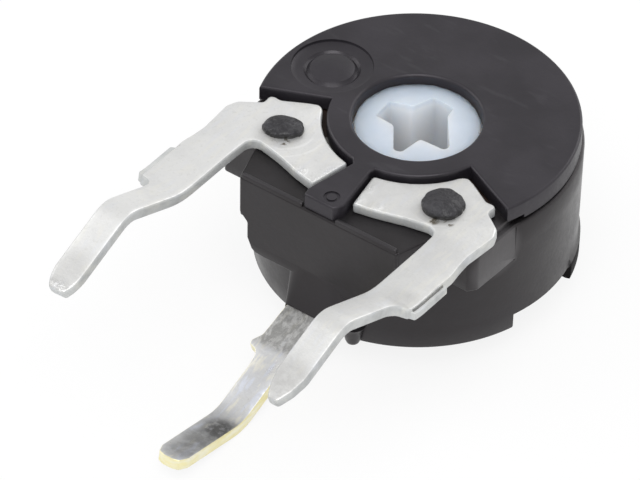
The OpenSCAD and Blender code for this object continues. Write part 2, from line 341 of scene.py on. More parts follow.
    def _combine(self, others: Sequence["Solid"], operation: str) -> "Solid":
        """Runs the exact boolean with one solid after another.

        Args:
            others: the other solids.
            operation: the modifier's operation.

        Returns:
            This solid, changed.
        """
        for other in others:
            base, tool = self._loose("base"), other._loose("tool")
            step = base.modifiers.new("combine", "BOOLEAN")
            step.operation, step.solver, step.object = operation, "EXACT", tool
            done = base.evaluated_get(bpy.context.evaluated_depsgraph_get())
            self.bm = bmesh.new()
            self.bm.from_mesh(done.to_mesh())
            done.to_mesh_clear()
            for mesh in (base.data, tool.data):
                bpy.data.meshes.remove(mesh)
        return self

    def _loose(self, name: str) -> bpy.types.Object:
        """Puts the mesh in a scratch object for a modifier to work on.

        Args:
            name: its name.

        Returns:
            The scratch object.
        """
        mesh = bpy.data.meshes.new(name)
        self.bm.to_mesh(mesh)
        return add_object(name, mesh)

    def finish(
        self, name: str, materials: Sequence[bpy.types.Material], smooth: float = 35.0
    ) -> bpy.types.Object:
        """Makes the object, in metres, with smooth faces between its sharp edges.

        Args:
            name: name of the piece.
            materials: its materials, in the order of the faces' indices.
            smooth: edges with a smaller angle than this are shaded smooth.

        Returns:
            The new object, at the origin.
        """
        bmesh.ops.remove_doubles(self.bm, verts=self.bm.verts, dist=2e-4)
        bmesh.ops.scale(self.bm, verts=self.bm.verts, vec=(MM, MM, MM))
        for face in self.bm.faces:
            face.smooth = True
        for edge in self.bm.edges:
            edge.smooth = edge.calc_face_angle(0.0) < math.radians(smooth)
        mesh = bpy.data.meshes.new(name)
        self.bm.to_mesh(mesh)
        self.bm.free()
        for material in materials:
            mesh.materials.append(material)
        piece = add_object(name, mesh)
        even = piece.modifiers.new("even_shading", "WEIGHTED_NORMAL")
        even.keep_sharp = True
        return piece


def box_mm(node: str) -> tuple[Vector, Vector]:
    """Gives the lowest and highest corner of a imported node, in millimetres."""
    low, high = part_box(node)
    return low / MM, high / MM


# ---------------------------------------------------------------- finishes


class Tree:
    """The nodes of a material or of the world, with short ways to add to them."""

    def __init__(self, owner: bpy.types.Material | bpy.types.World) -> None:
        """Turns the owner's nodes on."""
        owner.use_nodes = True
        self.tree = owner.node_tree

    def feed(self, socket: Socket, value: object) -> None:
        """Links or sets a socket.

        Args:
            socket: the socket.
            value: another node's socket, a number, a vector or a colour.
        """
        if isinstance(value, Socket):
            self.tree.links.new(value, socket)
        else:
            socket.default_value = (*value, 1.0) if socket.type == "RGBA" else value

    def add(
        self, kind: str, inputs: Mapping[str | int, object] | None = None, **settings: object
    ) -> bpy.types.Node:
        """Adds a node.

        Args:
            kind: its type, without the ShaderNode that all of them start with.
            inputs: what its sockets get, by name or number.
            settings: its properties.

        Returns:
            The new node.
        """
        node = self.tree.nodes.new(f"ShaderNode{kind}")
        for key, value in settings.items():
            setattr(node, key, value)
        for key, value in (inputs or {}).items():
            self.feed(node.inputs[key], value)
        return node

    def times(self, a: Socket | float, b: Socket | float) -> Socket:
        """Multiplies two values."""
        return self.add("Math", {0: a, 1: b}, operation="MULTIPLY").outputs["Value"]

    def plus(self, a: Socket | float, b: Socket | float) -> Socket:
        """Adds two values up."""
        return self.add("Math", {0: a, 1: b}, operation="ADD").outputs["Value"]

    def larger(self, a: Socket | float, b: Socket | float) -> Socket:
        """Picks the larger of two values."""
        return self.add("Math", {0: a, 1: b}, operation="MAXIMUM").outputs["Value"]


class Nodes(Tree):
    """A finish's nodes, with the patterns that it is made of."""

    def __init__(self, name: str) -> None:
        """Makes a material with a Principled shader, and coordinates in millimetres.

        Args:
            name: name of the material.
        """
        self.material = bpy.data.materials.new(name)
        super().__init__(self.material)
        self.shader = self.tree.nodes["Principled BSDF"]
        place = self.add("TexCoord").outputs["Object"]
        self.place = self.add("Mapping", {"Vector": place, "Scale": (1 / MM,) * 3}).outputs["Vector"]

    def put(self, name: str, value: object) -> None:
        """Sets or links one of the shader's sockets."""
        self.feed(self.shader.inputs[name], value)

    def noise(
        self, scale: float, detail: float = 4.0, rough: float = 0.5, stretch: Point3 = (1, 1, 1)
    ) -> Socket:
        """Adds a noise pattern.

        Args:
            scale: number of features in a millimetre.
            detail: octaves.
            rough: strength of the finer octaves.
            stretch: scale along each axis.

        Returns:
            The factor, about 0.3 to 0.7.
        """
        vector = self.place
        if stretch != (1, 1, 1):
            vector = self.add("Mapping", {"Vector": vector, "Scale": stretch}).outputs["Vector"]
        inputs = {"Vector": vector, "Scale": scale, "Detail": detail, "Roughness": rough}
        return self.add("TexNoise", inputs).outputs["Fac"]

    def spread(
        self, factor: Socket, low: float, high: float, out: Point2 = (0.0, 1.0), eased: bool = True
    ) -> Socket:
        """Stretches a part of a factor's range.

        Args:
            factor: the value to read.
            low: value at which the change starts.
            high: value at which it ends.
            out: what is given at the start and at the end.
            eased: whether the change starts and ends softly.

        Returns:
            The new value.
        """
        inputs = {"Value": factor, "From Min": low, "From Max": high, "To Min": out[0], "To Max": out[1]}
        kind = "SMOOTHSTEP" if eased else "LINEAR"
        return self.add("MapRange", inputs, interpolation_type=kind).outputs["Result"]

    def mix(self, factor: Socket, a: Socket | Colour, b: Socket | Colour) -> Socket:
        """Mixes two colours."""
        return self.add("Mix", {0: factor, 6: a, 7: b}, data_type="RGBA").outputs[2]

    def near(self, centre: Point3, radius: float, fade: float) -> Socket:
        """Gives 1 inside a ball and 0 outside it.

        Args:
            centre: middle of the ball in millimetres.
            radius: where the value is half.
            fade: width of the change.

        Returns:
            The factor.
        """
        node = self.add("VectorMath", {0: self.place, 1: centre}, operation="DISTANCE")
        return self.spread(node.outputs["Value"], radius - fade / 2, radius + fade / 2, (1.0, 0.0))

    def axis(self, name: str) -> Socket:
        """Gives one coordinate in millimetres."""
        return self.add("SeparateXYZ", {0: self.place}).outputs[name]

    def bump(self, *layers: tuple[Socket, float]) -> None:
        """Stacks bump layers.

        Args:
            layers: each one's height and its depth in millimetres.
        """
        below: dict[str, Socket] = {}
        for height, depth in layers:
            node = self.add("Bump", {"Strength": 1.0, "Distance": depth * MM, "Height": height, **below})
            below = {"Normal": node.outputs["Normal"]}
        self.put("Normal", below["Normal"])


@dataclass(frozen=True)
class MouldedPlastic:
    """Black glass-filled plastic with a soft sheen, faint flow marks and fine grain, and where asked for,
    painted light in pale balls, painted shade on the skirt's foot and a painted highlight on the lip.
    """

    name: str
    dark: Colour = (0.0075, 0.0068, 0.0072)
    pale: Colour = (0.0125, 0.0118, 0.0130)
    scratch: Colour = (0.07, 0.07, 0.075)
    # colour of the painted light in the pale balls
    painted_light: Colour = (0.06, 0.058, 0.06)
    # colour of the painted shade on the skirt's foot
    foot: Colour = (0.0035, 0.0032, 0.0035)
    # colour of the painted highlight on the lip's top
    lip: Colour = (0.024, 0.023, 0.025)
    roughness: Point2 = (0.28, 0.42)
    rubbed: float = 0.0
    ior: float = 1.455
    tint: Colour = (1.0, 0.935, 0.965)
    painted_light_balls: tuple[Ball, ...] = ()
    foot_shade_high: float = 0.0
    lip_highlight_low: float = 0.0

    def build(self) -> bpy.types.Material:
        """Makes the material.

        Returns:
            The new material.
        """
        n = Nodes(self.name)
        cloudy = n.noise(0.9, 5, 0.55)
        fine = n.noise(14.0, 3, 0.6)
        flow = n.noise(1.1, 3, 0.5)
        colour = n.mix(n.spread(cloudy, 0.35, 0.68), self.dark, self.pale)
        scratches = n.noise(3.4, 3, 0.5, (0.45, 1.5, 1.0))
        worn = n.spread(scratches, 0.60, 0.74, (0.0, self.rubbed))
        colour = n.mix(worn, colour, self.scratch)
        # painted light: paler balls on faces that catch the lamps, here the right ear's flat side panel
        for centre, radius, fade, amount in self.painted_light_balls:
            ball = n.times(n.near(centre, radius, fade), amount)
            colour = n.mix(ball, colour, self.painted_light)
        rough = n.spread(n.plus(cloudy, n.times(fine, 0.35)), 0.5, 0.85, self.roughness)
        # painted shade: the skirt's foot behind the channel is darkened and given a duller sheen, for the
        # shadow it lies in under the barrel
        if self.foot_shade_high:
            low = n.spread(n.axis("Z"), self.foot_shade_high + 0.02, self.foot_shade_high - 0.02)
            foot = n.times(low, n.spread(n.axis("Y"), 0.8, 0.9))
            colour = n.mix(foot, colour, self.foot)
            rough = n.plus(rough, n.times(foot, 0.3))
            n.put("Specular IOR Level", n.spread(foot, 0.0, 1.0, (0.5, 0.12)))
        # painted highlight: the top of the deck's lip is lightened into a thin bright line
        if self.lip_highlight_low:
            lip = n.spread(n.axis("Z"), self.lip_highlight_low, self.lip_highlight_low + 0.03)
            colour = n.mix(lip, colour, self.lip)
        n.put("Base Color", colour)
        n.put("Roughness", rough)
        n.put("IOR", self.ior)
        n.put("Specular Tint", self.tint)
        n.bump((flow, 0.012), (fine, 0.0016))
        return n.material


@dataclass(frozen=True)
class MeltedPlastic:
    """The same plastic where a hot tool has pressed it: wrinkled and a little glossier, with painted shade
    on the head's steep sides and lower rim.
    """

    name: str = "melted_black_plastic"
    dark: Colour = (0.012, 0.011, 0.014)
    pale: Colour = (0.029, 0.028, 0.033)
    # colour of the painted shade on the head's sides and lower rim
    rim: Colour = (0.004, 0.0035, 0.004)
    shaded_rim_low: float = 3.12
    shaded_rim_high: float = 3.21

    def build(self) -> bpy.types.Material:
        """Makes the material.

        Returns:
            The new material.
        """
        n = Nodes(self.name)
        lumps = n.noise(4.5, 4, 0.6)
        top = n.mix(n.spread(lumps, 0.35, 0.7), self.dark, self.pale)
        # painted shade: below its top the head turns darker, for the shade on its sides and round its foot
        rise = n.spread(n.plus(n.axis("Z"), n.times(lumps, 0.12)), self.shaded_rim_low, self.shaded_rim_high)
        n.put("Base Color", n.mix(rise, self.rim, top))
        n.put("Roughness", n.spread(n.noise(9.0, 3), 0.35, 0.65, (0.30, 0.52)))
        n.bump((lumps, 0.05), (n.noise(18.0, 2), 0.006))
        return n.material


@dataclass(frozen=True)
class TinPlate:
    """Pale satin tin over brass, softly blotched, with fine rolling lines and darker balls, some of them
    stained blotches and some painted shade round a rivet head.
    """

    name: str
    colour: Colour = (0.82, 0.82, 0.81)
    shade: Colour = (0.73, 0.73, 0.725)
    # colour of the darker balls: stained blotches, and painted shade round a rivet head
    dull_and_shade: Colour = (0.36, 0.355, 0.345)
    speck: Colour = (0.54, 0.54, 0.52)
    cool: Colour = (0.70, 0.73, 0.82)
    warm: Colour = (0.86, 0.83, 0.72)
    grains: tuple[Colour, Colour] = ((0.74, 0.735, 0.72), (0.38, 0.375, 0.36))
    scar: Colour = (0.17, 0.15, 0.12)
    stain_and_shade_balls: tuple[Ball, ...] = ()
    roughness: Point2 = (0.26, 0.44)
    streaks: float = 0.15
    metallic: float = 0.72
    dull_from: float = 0.0
    scars: tuple[tuple[Point3, float], ...] = ()
    pressed: tuple[tuple[Point3, float, Point3, float], ...] = ()
    burrs: tuple[Point3, ...] = ()

    def build(self) -> bpy.types.Material:
        """Makes the material.

        Returns:
            The new material.
        """
        n = Nodes(self.name)
        cloudy = n.noise(1.3, 5, 0.6)
        specks = n.noise(11.0, 4, 0.65)
        lines = n.noise(5.0, 3, 0.5, (3.0, 0.25, 1.0))
        colour = n.mix(n.spread(cloudy, 0.38, 0.66), self.colour, self.shade)
        colour = n.mix(n.spread(specks, 0.55, 0.68, (0.0, 0.26)), colour, self.speck)
        streaks = n.noise(3.2, 2, 0.5, (2.6, 0.5, 1.0))
        colour = n.mix(n.spread(streaks, 0.55, 0.68, (0.0, self.streaks)), colour, self.cool)
        colour = n.mix(n.spread(streaks, 0.45, 0.33, (0.0, self.streaks)), colour, self.warm)
        # darker balls: stained blotches, and painted shade where a ball sits round a rivet head
        for centre, radius, fade, amount in self.stain_and_shade_balls:
            blotch = n.spread(n.noise(5.0, 5, 0.7), 0.36, 0.58, (0.3, amount))
            colour = n.mix(n.times(n.near(centre, radius, fade), blotch), colour, self.dull_and_shade)
        if self.dull_from:
            grey = n.spread(n.axis("Y"), self.dull_from - 0.05, self.dull_from + 0.05, (0.0, 0.75))
            grain = n.spread(n.noise(8.0, 5, 0.75, (1.0, 0.45, 1.0)), 0.40, 0.60)
            colour = n.mix(grey, colour, n.mix(grain, *self.grains))
        torn = n.noise(7.0, 3, 0.6)
        for centre, radius in self.scars:
            scar = n.times(n.near(centre, radius, 0.08), n.spread(torn, 0.47, 0.56))
            colour = n.mix(scar, colour, self.scar)
        n.put("Base Color", colour)
        n.put("Metallic", self.metallic)
        uneven = n.plus(cloudy, n.times(specks, 0.4))
        n.put("Roughness", n.spread(uneven, 0.5, 0.9, self.roughness))
        layers = [(cloudy, 0.012), (lines, 0.0016), (specks, 0.0045)]
        for centre, radius, middle, reach in self.pressed:
            dent = n.times(n.near(centre, radius, 0.07), n.near(middle, reach, 0.35))
            layers.append((dent, 0.010))
        for centre in self.burrs:
            burr = n.times(n.near(centre, 0.18, 0.25), n.noise(9.0, 3, 0.6))
            layers.append((burr, 0.05))
        n.bump(*layers)
        return n.material


@dataclass(frozen=True)
class BareBrass:
    """Yellowish brass of the sheet's cut edges, half covered by smeared tin."""

    name: str = "bare_brass_edge"
    brass: Colour = (0.86, 0.79, 0.44)
    tin: Colour = (0.88, 0.85, 0.66)
    metallic: float = 0.55

    def build(self) -> bpy.types.Material:
        """Makes the material.

        Returns:
            The new material.
        """
        n = Nodes(self.name)
        smear = n.noise(2.2, 4, 0.6, (1.0, 1.0, 4.0))
        n.put("Base Color", n.mix(n.spread(smear, 0.36, 0.66), self.brass, self.tin))
        n.put("Metallic", self.metallic)
        n.put("Roughness", n.spread(n.noise(8.0, 3), 0.35, 0.65, (0.32, 0.5)))
        n.bump((n.noise(6.0, 3, 0.5, (1.0, 1.0, 0.3)), 0.006))
        return n.material


@dataclass(frozen=True)
class RotorPlastic:
    """Bluish-white plastic that lets a little light through, with painted light on the recess walls just
    below the face and a painted shade tint lower down.
    """

    name: str = "rotor_white_plastic"
    colour: Colour = (0.53, 0.585, 0.665)
    shade: Colour = (0.49, 0.55, 0.63)
    # colour of the painted light on the recess walls just below the face
    mouth: Colour = (0.66, 0.69, 0.73)
    # colour of the painted shade tint lower down: a neutral grey
    deep_shade: Colour = (0.63, 0.63, 0.64)
    mouth_light_heights: Point2 = (2.90, 2.78)
    deep_shade_heights: Point2 = (2.85, 1.9)
    light_share: Point3 = (1.2, 1.0, 0.85)
    light_reach: float = 1.3

    def build(self) -> bpy.types.Material:
        """Makes the material.

        Returns:
            The new material.
        """
        n = Nodes(self.name)
        cloudy = n.noise(1.4, 4, 0.5)
        colour = n.mix(n.spread(cloudy, 0.35, 0.65), self.colour, self.shade)
        # painted light: the recess walls just below the face are lightened towards the face's brightness
        colour = n.mix(n.spread(n.axis("Z"), *self.mouth_light_heights), colour, self.mouth)
        # painted shade tint: lower down the walls turn a neutral grey
        n.put("Base Color", n.mix(n.spread(n.axis("Z"), *self.deep_shade_heights), colour, self.deep_shade))
        n.put("Roughness", n.spread(n.noise(6.0, 3), 0.35, 0.65, (0.36, 0.5)))
        n.put("Subsurface Weight", 1.0)
        n.put("Subsurface Radius", self.light_share)
        n.put("Subsurface Scale", self.light_reach * MM)
        n.put("IOR", 1.48)
        n.bump((cloudy, 0.006), (n.noise(16.0, 2), 0.0012))
        return n.material


@dataclass(frozen=True)
class Laminate:
    """Brown resin-bonded paper with its fibres."""

    name: str = "brown_paper_laminate"
    dark: Colour = (0.012, 0.006, 0.004)
    pale: Colour = (0.030, 0.015, 0.009)

    def build(self) -> bpy.types.Material:
        """Makes the material.

        Returns:
            The new material.
        """
        n = Nodes(self.name)
        fibres = n.noise(3.0, 6, 0.7, (1.0, 1.0, 6.0))
        brown = n.spread(fibres, 0.3, 0.7, eased=False)
        n.put("Base Color", n.mix(brown, self.dark, self.pale))
        n.put("Roughness", 0.62)
        n.bump((fibres, 0.006))
        return n.material


@dataclass(frozen=True)
class Film:
    """A thin printed film, of carbon or of silver."""

    name: str
    low: Colour
    high: Colour
    metallic: float
    roughness: float

    def build(self) -> bpy.types.Material:
        """Makes the material.

        Returns:
            The new material.
        """
        n = Nodes(self.name)
        grain = n.noise(16.0, 4, 0.6)
        n.put("Base Color", n.mix(n.spread(grain, 0.35, 0.65, eased=False), self.low, self.high))
        n.put("Metallic", self.metallic)
        n.put("Roughness", self.roughness)
        n.bump((grain, 0.002))
        return n.material


# ---------------------------------------------------------------- the moulded body


@dataclass
class Housing:
    """The black moulding: barrel, skirt, front block, ears, nose, feet and the melted peg heads."""

    top: float = 2.80
    radius: float = 3.20
    draft: float = 0.07
    skirt: float = 0.36
    skirt_wall: float = 0.60
    channel: float = 0.90
    wall: float = 0.96
    floor: float = 0.90
    neck: float = 2.66
    neck_radius: float = 2.99
    front: float = 3.16
    block_half: float = 1.86
    block_step: float = 0.18
    ear_half: float = 3.00
    ear_front: float = 2.28
    ear_height: float = 1.0
    nose_front: float = 3.45
    nose_half: float = 0.56
    nose_spread: float = 0.45
    nose_height: float = 1.3
    nose_corner: float = 0.09
    nose_soft: float = 0.75
    chamber: float = 2.50
    ledge: float = 2.28
    base: float = 2.40
    stop_radius: float = 1.57
    stop_half: float = 38.5
    bearing: float = 0.95
    peg: float = 0.29
    head_radius: float = 0.405
    head_low: float = 3.0
    head_high: float = 3.23
    foot_flare: float = 0.045
    slot_gap: float = 0.012
    rings: tuple[float, ...] = (0.42, 0.5, 0.85, 1.3, 1.7, 2.1)
    finishes: tuple[MouldedPlastic, MeltedPlastic] = (
        MouldedPlastic(
            # painted light: a paler ball on the right ear's flat side panel
            "housing_black_plastic", painted_light_balls=(((3.0, -1.55, 2.2), 0.66, 0.25, 0.85),),
            # painted highlight on the top of the deck's lip
            # painted shade on the skirt's foot behind the channel
            foot_shade_high=0.42, lip_highlight_low=2.83,
        ),
        MeltedPlastic(),
    )

    def build(self) -> bpy.types.Object:
        """Joins the moulding's forms and hollows it out.

        Returns:
            The finished piece.
        """
        body = self._barrel().cut(*self._front_cuts(), self._underside())
        body.join(self._ears(), self._block(), self._nose(), *self._lips(), self._foot())
        body.cut(*self._hollows(), WiperTerminal().strip(self.slot_gap))
        body.join(*self._pegs())
        for level in self.rings:
            body.slice((0, 0, level), (0, 0, 1), True)
        self._flare_foot(body)
        for face in body.bm.faces:
            if face.calc_center_median().z > self.head_low + 0.002:
                face.material_index = 1
        piece = body.finish("moulded_housing", [f.build() for f in self.finishes])
        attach(piece, "housing")
        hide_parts("housing")
        return piece

    def _flare_foot(self, body: Solid) -> None:
        """Spreads the foot of the skirt behind the channel a little beyond the barrel.

        Args:
            body: the moulding.
        """
        behind, below = self.channel - 0.05, self.rings[1] - 0.01
        for vert in body.bm.verts:
            across = vert.co.xy.length
            if vert.co.y > behind and vert.co.z < below and across > self.radius - 0.12:
                vert.co.xy *= 1 + self.foot_flare / across

    def _radius_at(self, z: float) -> float:
        """Gives the barrel's radius at a height, with its draft."""
        return self.radius - self.draft * (1 - z / self.neck)

    def _barrel(self) -> Solid:
        """Turns the barrel with its rounded foot and its neck under the cover.

        Returns:
            The barrel, without any hollow.
        """
        low, wide = self._radius_at(0), self._radius_at(self.neck)
        edge, neck = 0.06, self.neck
        profile = [
            (0, 0), (low - edge, 0), (low - edge * 0.3, edge * 0.3), (low, edge), (wide, neck - edge),
            (wide - edge * 0.3, neck - edge * 0.3), (wide - edge, neck), (self.neck_radius, neck + 0.01),
            (self.neck_radius, self.top), (0, self.top),
        ]
        return Solid.turned(profile, 192)

    def _underside(self) -> Solid:
        """Gives the hollow inside the skirt with the channel that runs across through it.

        Returns:
            The cutter for both.
        """
        inner, wide = self.radius - self.skirt_wall, 2 * self.radius
        start = math.degrees(math.asin(self.channel / inner))
        half = [(wide, self.channel), *arc(inner, start, 180 - start, 80), (-wide, self.channel)]
        return Solid.prism(half + [(-x, -y) for x, y in half], -0.9, self.skirt)

    def _front_cuts(self) -> list[Solid]:
        """Gives the parts of the barrel that the ears and the block's wall stand in for.

        Returns:
            The cutters.
        """
        wide, half = 2 * self.radius, 1.4
        upper = rectangle(-wide, -wide, wide, -self.wall)
        ears_room = Solid.prism(upper, self.top - self.ear_height, 2 * self.top)
        middle = rectangle(-half, -wide, half, -self.front + 0.06)
        return [
            ears_room.cut(self._behind_ears(0.0)),
            Solid.prism(middle, self.floor + 0.26, self.top),
        ]

    def _ears(self) -> Solid:
        """Extrudes the two ears with the deck between them.

        Returns:
            All three as one solid.
        """
        half = [
            (self.ear_half + 0.06, 0.12 - self.wall), (self.ear_half + 0.03, -self.wall - 0.02),
            (self.ear_half + 0.02, -1.5), (self.ear_half, -self.ear_front + 0.17),
            (self.ear_half - 0.13, -self.ear_front), (self.block_half + 0.27, -self.ear_front),
            (self.block_half + 0.01, -self.front + 0.045),
        ]
        plan = both_halves(half)
        inner = self.ear_half - 0.09
        deck = [(max(-inner, min(inner, x)), y) for x, y in plan]
        ears = Solid.prism(plan, self.top - self.ear_height, self.neck).bevel(0.04, 3, 20)
        ears.join(Solid.prism(deck, self.neck - 0.3, self.top).bevel(0.04, 3, 20))
        return ears.cut(self._behind_ears(0.12))

    def _behind_ears(self, overlap: float, bend: float = 0.34) -> Solid:
        """Gives the room behind the ears, whose lower corner is round in the side view.

        Args:
            overlap: how far the ears reach into the barrel.
            bend: radius of the corner.

        Returns:
            The room as a solid across the whole part.
        """
        back, low = overlap - self.wall, self.top - self.ear_height
        bow = [(back - bend + x, low + bend + z) for x, z in arc(bend, -90, 0, 8)]
        side = [
            (back - bend, low - 0.3), (1.0, low - 0.3), (1.0, 2 * self.top), (back, 2 * self.top),
            *reversed(bow),
        ]
        room = Solid.prism(side, -2 * self.radius, 2 * self.radius)
        for v in room.bm.verts:
            v.co = Vector((v.co.z, v.co.x, v.co.y))
        return room.outward()

    def _block(self) -> Solid:
        """Extrudes the front block's wall with its step and rounded foot.

        Returns:
            The block.
        """
        foot = self.floor + 0.17
        step = self.top - 0.88
        inner = self.block_half - self.block_step
        half = [
            (inner - 0.40, foot - 0.02), (inner - 0.19, foot), (inner - 0.10, foot + 0.07),
            (inner, foot + 0.30), (inner, step - self.block_step), (self.block_half, step),
            (self.block_half, self.top - 0.004),
        ]
        solid = Solid.prism(both_halves(half), 0.6, self.front)
        return solid.raise_up().bevel(0.05, 3, 20)

    def _nose(self) -> Solid:
        """Lofts the nose over the middle terminal from level outlines.

        Returns:
            The nose, reaching into the block.
        """
        solid = Solid()
        loops: list[list[bmesh.types.BMEdge]] = []
        levels, wall = 14, self.front - 0.05
        for k in range(levels + 1):
            s = k / levels
            z = self.floor - 0.49 + self.nose_height * s
            half = self.nose_half + self.nose_spread * s
            front = wall + (self.nose_front - wall) * (1 - s) ** 1.7
            corners = [(-half, -1.2), (-half, -front), (half, -front), (half, -1.2)]
            plan = rounded(corners, self.nose_corner + self.nose_soft * s, 9)
            verts = [solid.bm.verts.new((x, y, z)) for x, y in plan]
            loops.append([solid.bm.edges.new((a, b)) for a, b in zip(verts, verts[1:] + verts[:1])])
        for below, above in zip(loops, loops[1:]):
            bmesh.ops.bridge_loops(solid.bm, edges=below + above)
        bmesh.ops.holes_fill(solid.bm, edges=loops[0] + loops[-1])
        return solid.outward()

    def _lips(self) -> list[Solid]:
        """Gives the low lip along the deck's front edge, on both sides of the cover's rib.

        Returns:
            The right lip and the left one.
        """
        low, back, half, end = -self.front + 0.012, -self.front + 0.115, self.block_half - 0.03, 0.385
        plan = [(end, low), (half, low), (half - 0.02, back), (end, back)]
        right = Solid.prism(plan, self.top - 0.1, self.top + 0.075).bevel(0.045, 4)
        return [right, right.mirrored()]

    def _foot(self) -> Solid:
        """Turns the small foot at the front."""
        profile = [(0, 0), (0.08, 0), (0.125, 0.03), (0.15, 0.09), (0.2, 0.36), (0.25, 0.46), (0, 0.46)]
        return Solid.turned(profile, 32).move((0.82, -self.radius + 0.12, 0.004))

    def _hollows(self) -> list[Solid]:
        """Gives the chamber, with the front stop left standing, and the bearing bore.

        Returns:
            The cutters.
        """
        low, inner, above = self.floor, self.stop_radius - 0.05, 5
        start, end, reach, overlap = -90 + self.stop_half, 270 - self.stop_half, 9.5, 0.5
        room = [(inner, low), (self.ledge, low), (self.ledge, self.base), (self.chamber, self.base),
                (self.chamber, above), (inner, above)]
        film, over, slack = self.base - 0.07, self.base + 0.01, 0.02
        gap = [(inner - slack, film), (self.ledge - slack, film), (self.ledge - slack, over),
               (self.chamber - slack, over), (self.chamber - slack, above + 0.1),
               (inner - slack, above + 0.1)]
        return [
            Solid.bar(self.stop_radius, low, above, 96), Solid.sector(room, start, end),
            Solid.sector(gap, start - reach, start + overlap, 8),
            Solid.sector(gap, end - overlap, end + reach, 8),
            Solid.bar(self.bearing, -1, low + 0.2, 64),
        ]

    def _pegs(self) -> list[Solid]:
        """Gives the two pegs with their melted heads: a full one and one that was pressed flatter.

        Returns:
            The right peg and the left one.
        """
        x, y = RIVET
        right = self._peg(self.head_high, 0.11, 3.1).move((x, y, 0))
        left = self._peg(self.head_high - 0.03, 0.10, 7.7)
        press, squash, shift = Vector((0.60, -0.80)), 0.28, 0.04
        for v in left.bm.verts:
            if v.co.z > self.head_low + 0.01:
                v.co.xy -= press * (press.dot(v.co.xy) * squash)
                v.co.y -= shift
        return [right, left.move((-x, y, 0))]

    def _peg(self, tall: float, wall: float, seed: float) -> Solid:
        """Turns one peg and makes its head lumpy.

        Args:
            tall: height of the head's top.
            wall: height of the head's upright rim.
            seed: place in the noise, so that no two heads are alike.

        Returns:
            The peg, standing on the origin.
        """
        rim, foot = self.head_radius, self.head_low
        brow = foot + wall
        dome = tall - brow
        profile = [
            (0, self.floor - 0.1), (self.peg, self.floor - 0.1), (self.peg, foot), (rim - 0.04, foot),
            (rim - 0.01, foot + 0.012), (rim, foot + 0.03), (rim, brow), (rim - 0.015, brow + dome * 0.22),
            (rim - 0.06, brow + dome * 0.45), (rim - 0.14, brow + dome * 0.7),
            (rim - 0.25, brow + dome * 0.93), (0, tall),
        ]
        peg = Solid.turned(profile, 48)
        head = {e for f in peg.bm.faces if f.calc_center_median().z > foot - 0.01 for e in f.edges}
        bmesh.ops.subdivide_edges(peg.bm, edges=list(head), cuts=1, use_grid_fill=True)
        for v in peg.bm.verts:
            rise = (v.co.z - foot) / (tall - foot)
            if rise > 0.05:
                x, y = v.co.xy
                bump = 0.06 * noise.noise(Vector((x * 2.8 + seed, y * 2.8, 0.0)))
                bump += 0.02 * noise.noise(Vector((x * 8 + seed, y * 8, 0.0)))
                v.co.z = min(v.co.z + bump * rise, tall)
                grow = 1 + 0.09 * noise.noise(Vector((x * 1.9, y * 1.9 + seed, 0.0)))
                grow += 0.07 * noise.noise(Vector((x * 7, y * 7 + seed, v.co.z * 2)))
                v.co.x, v.co.y = x * grow, y * grow
        return peg


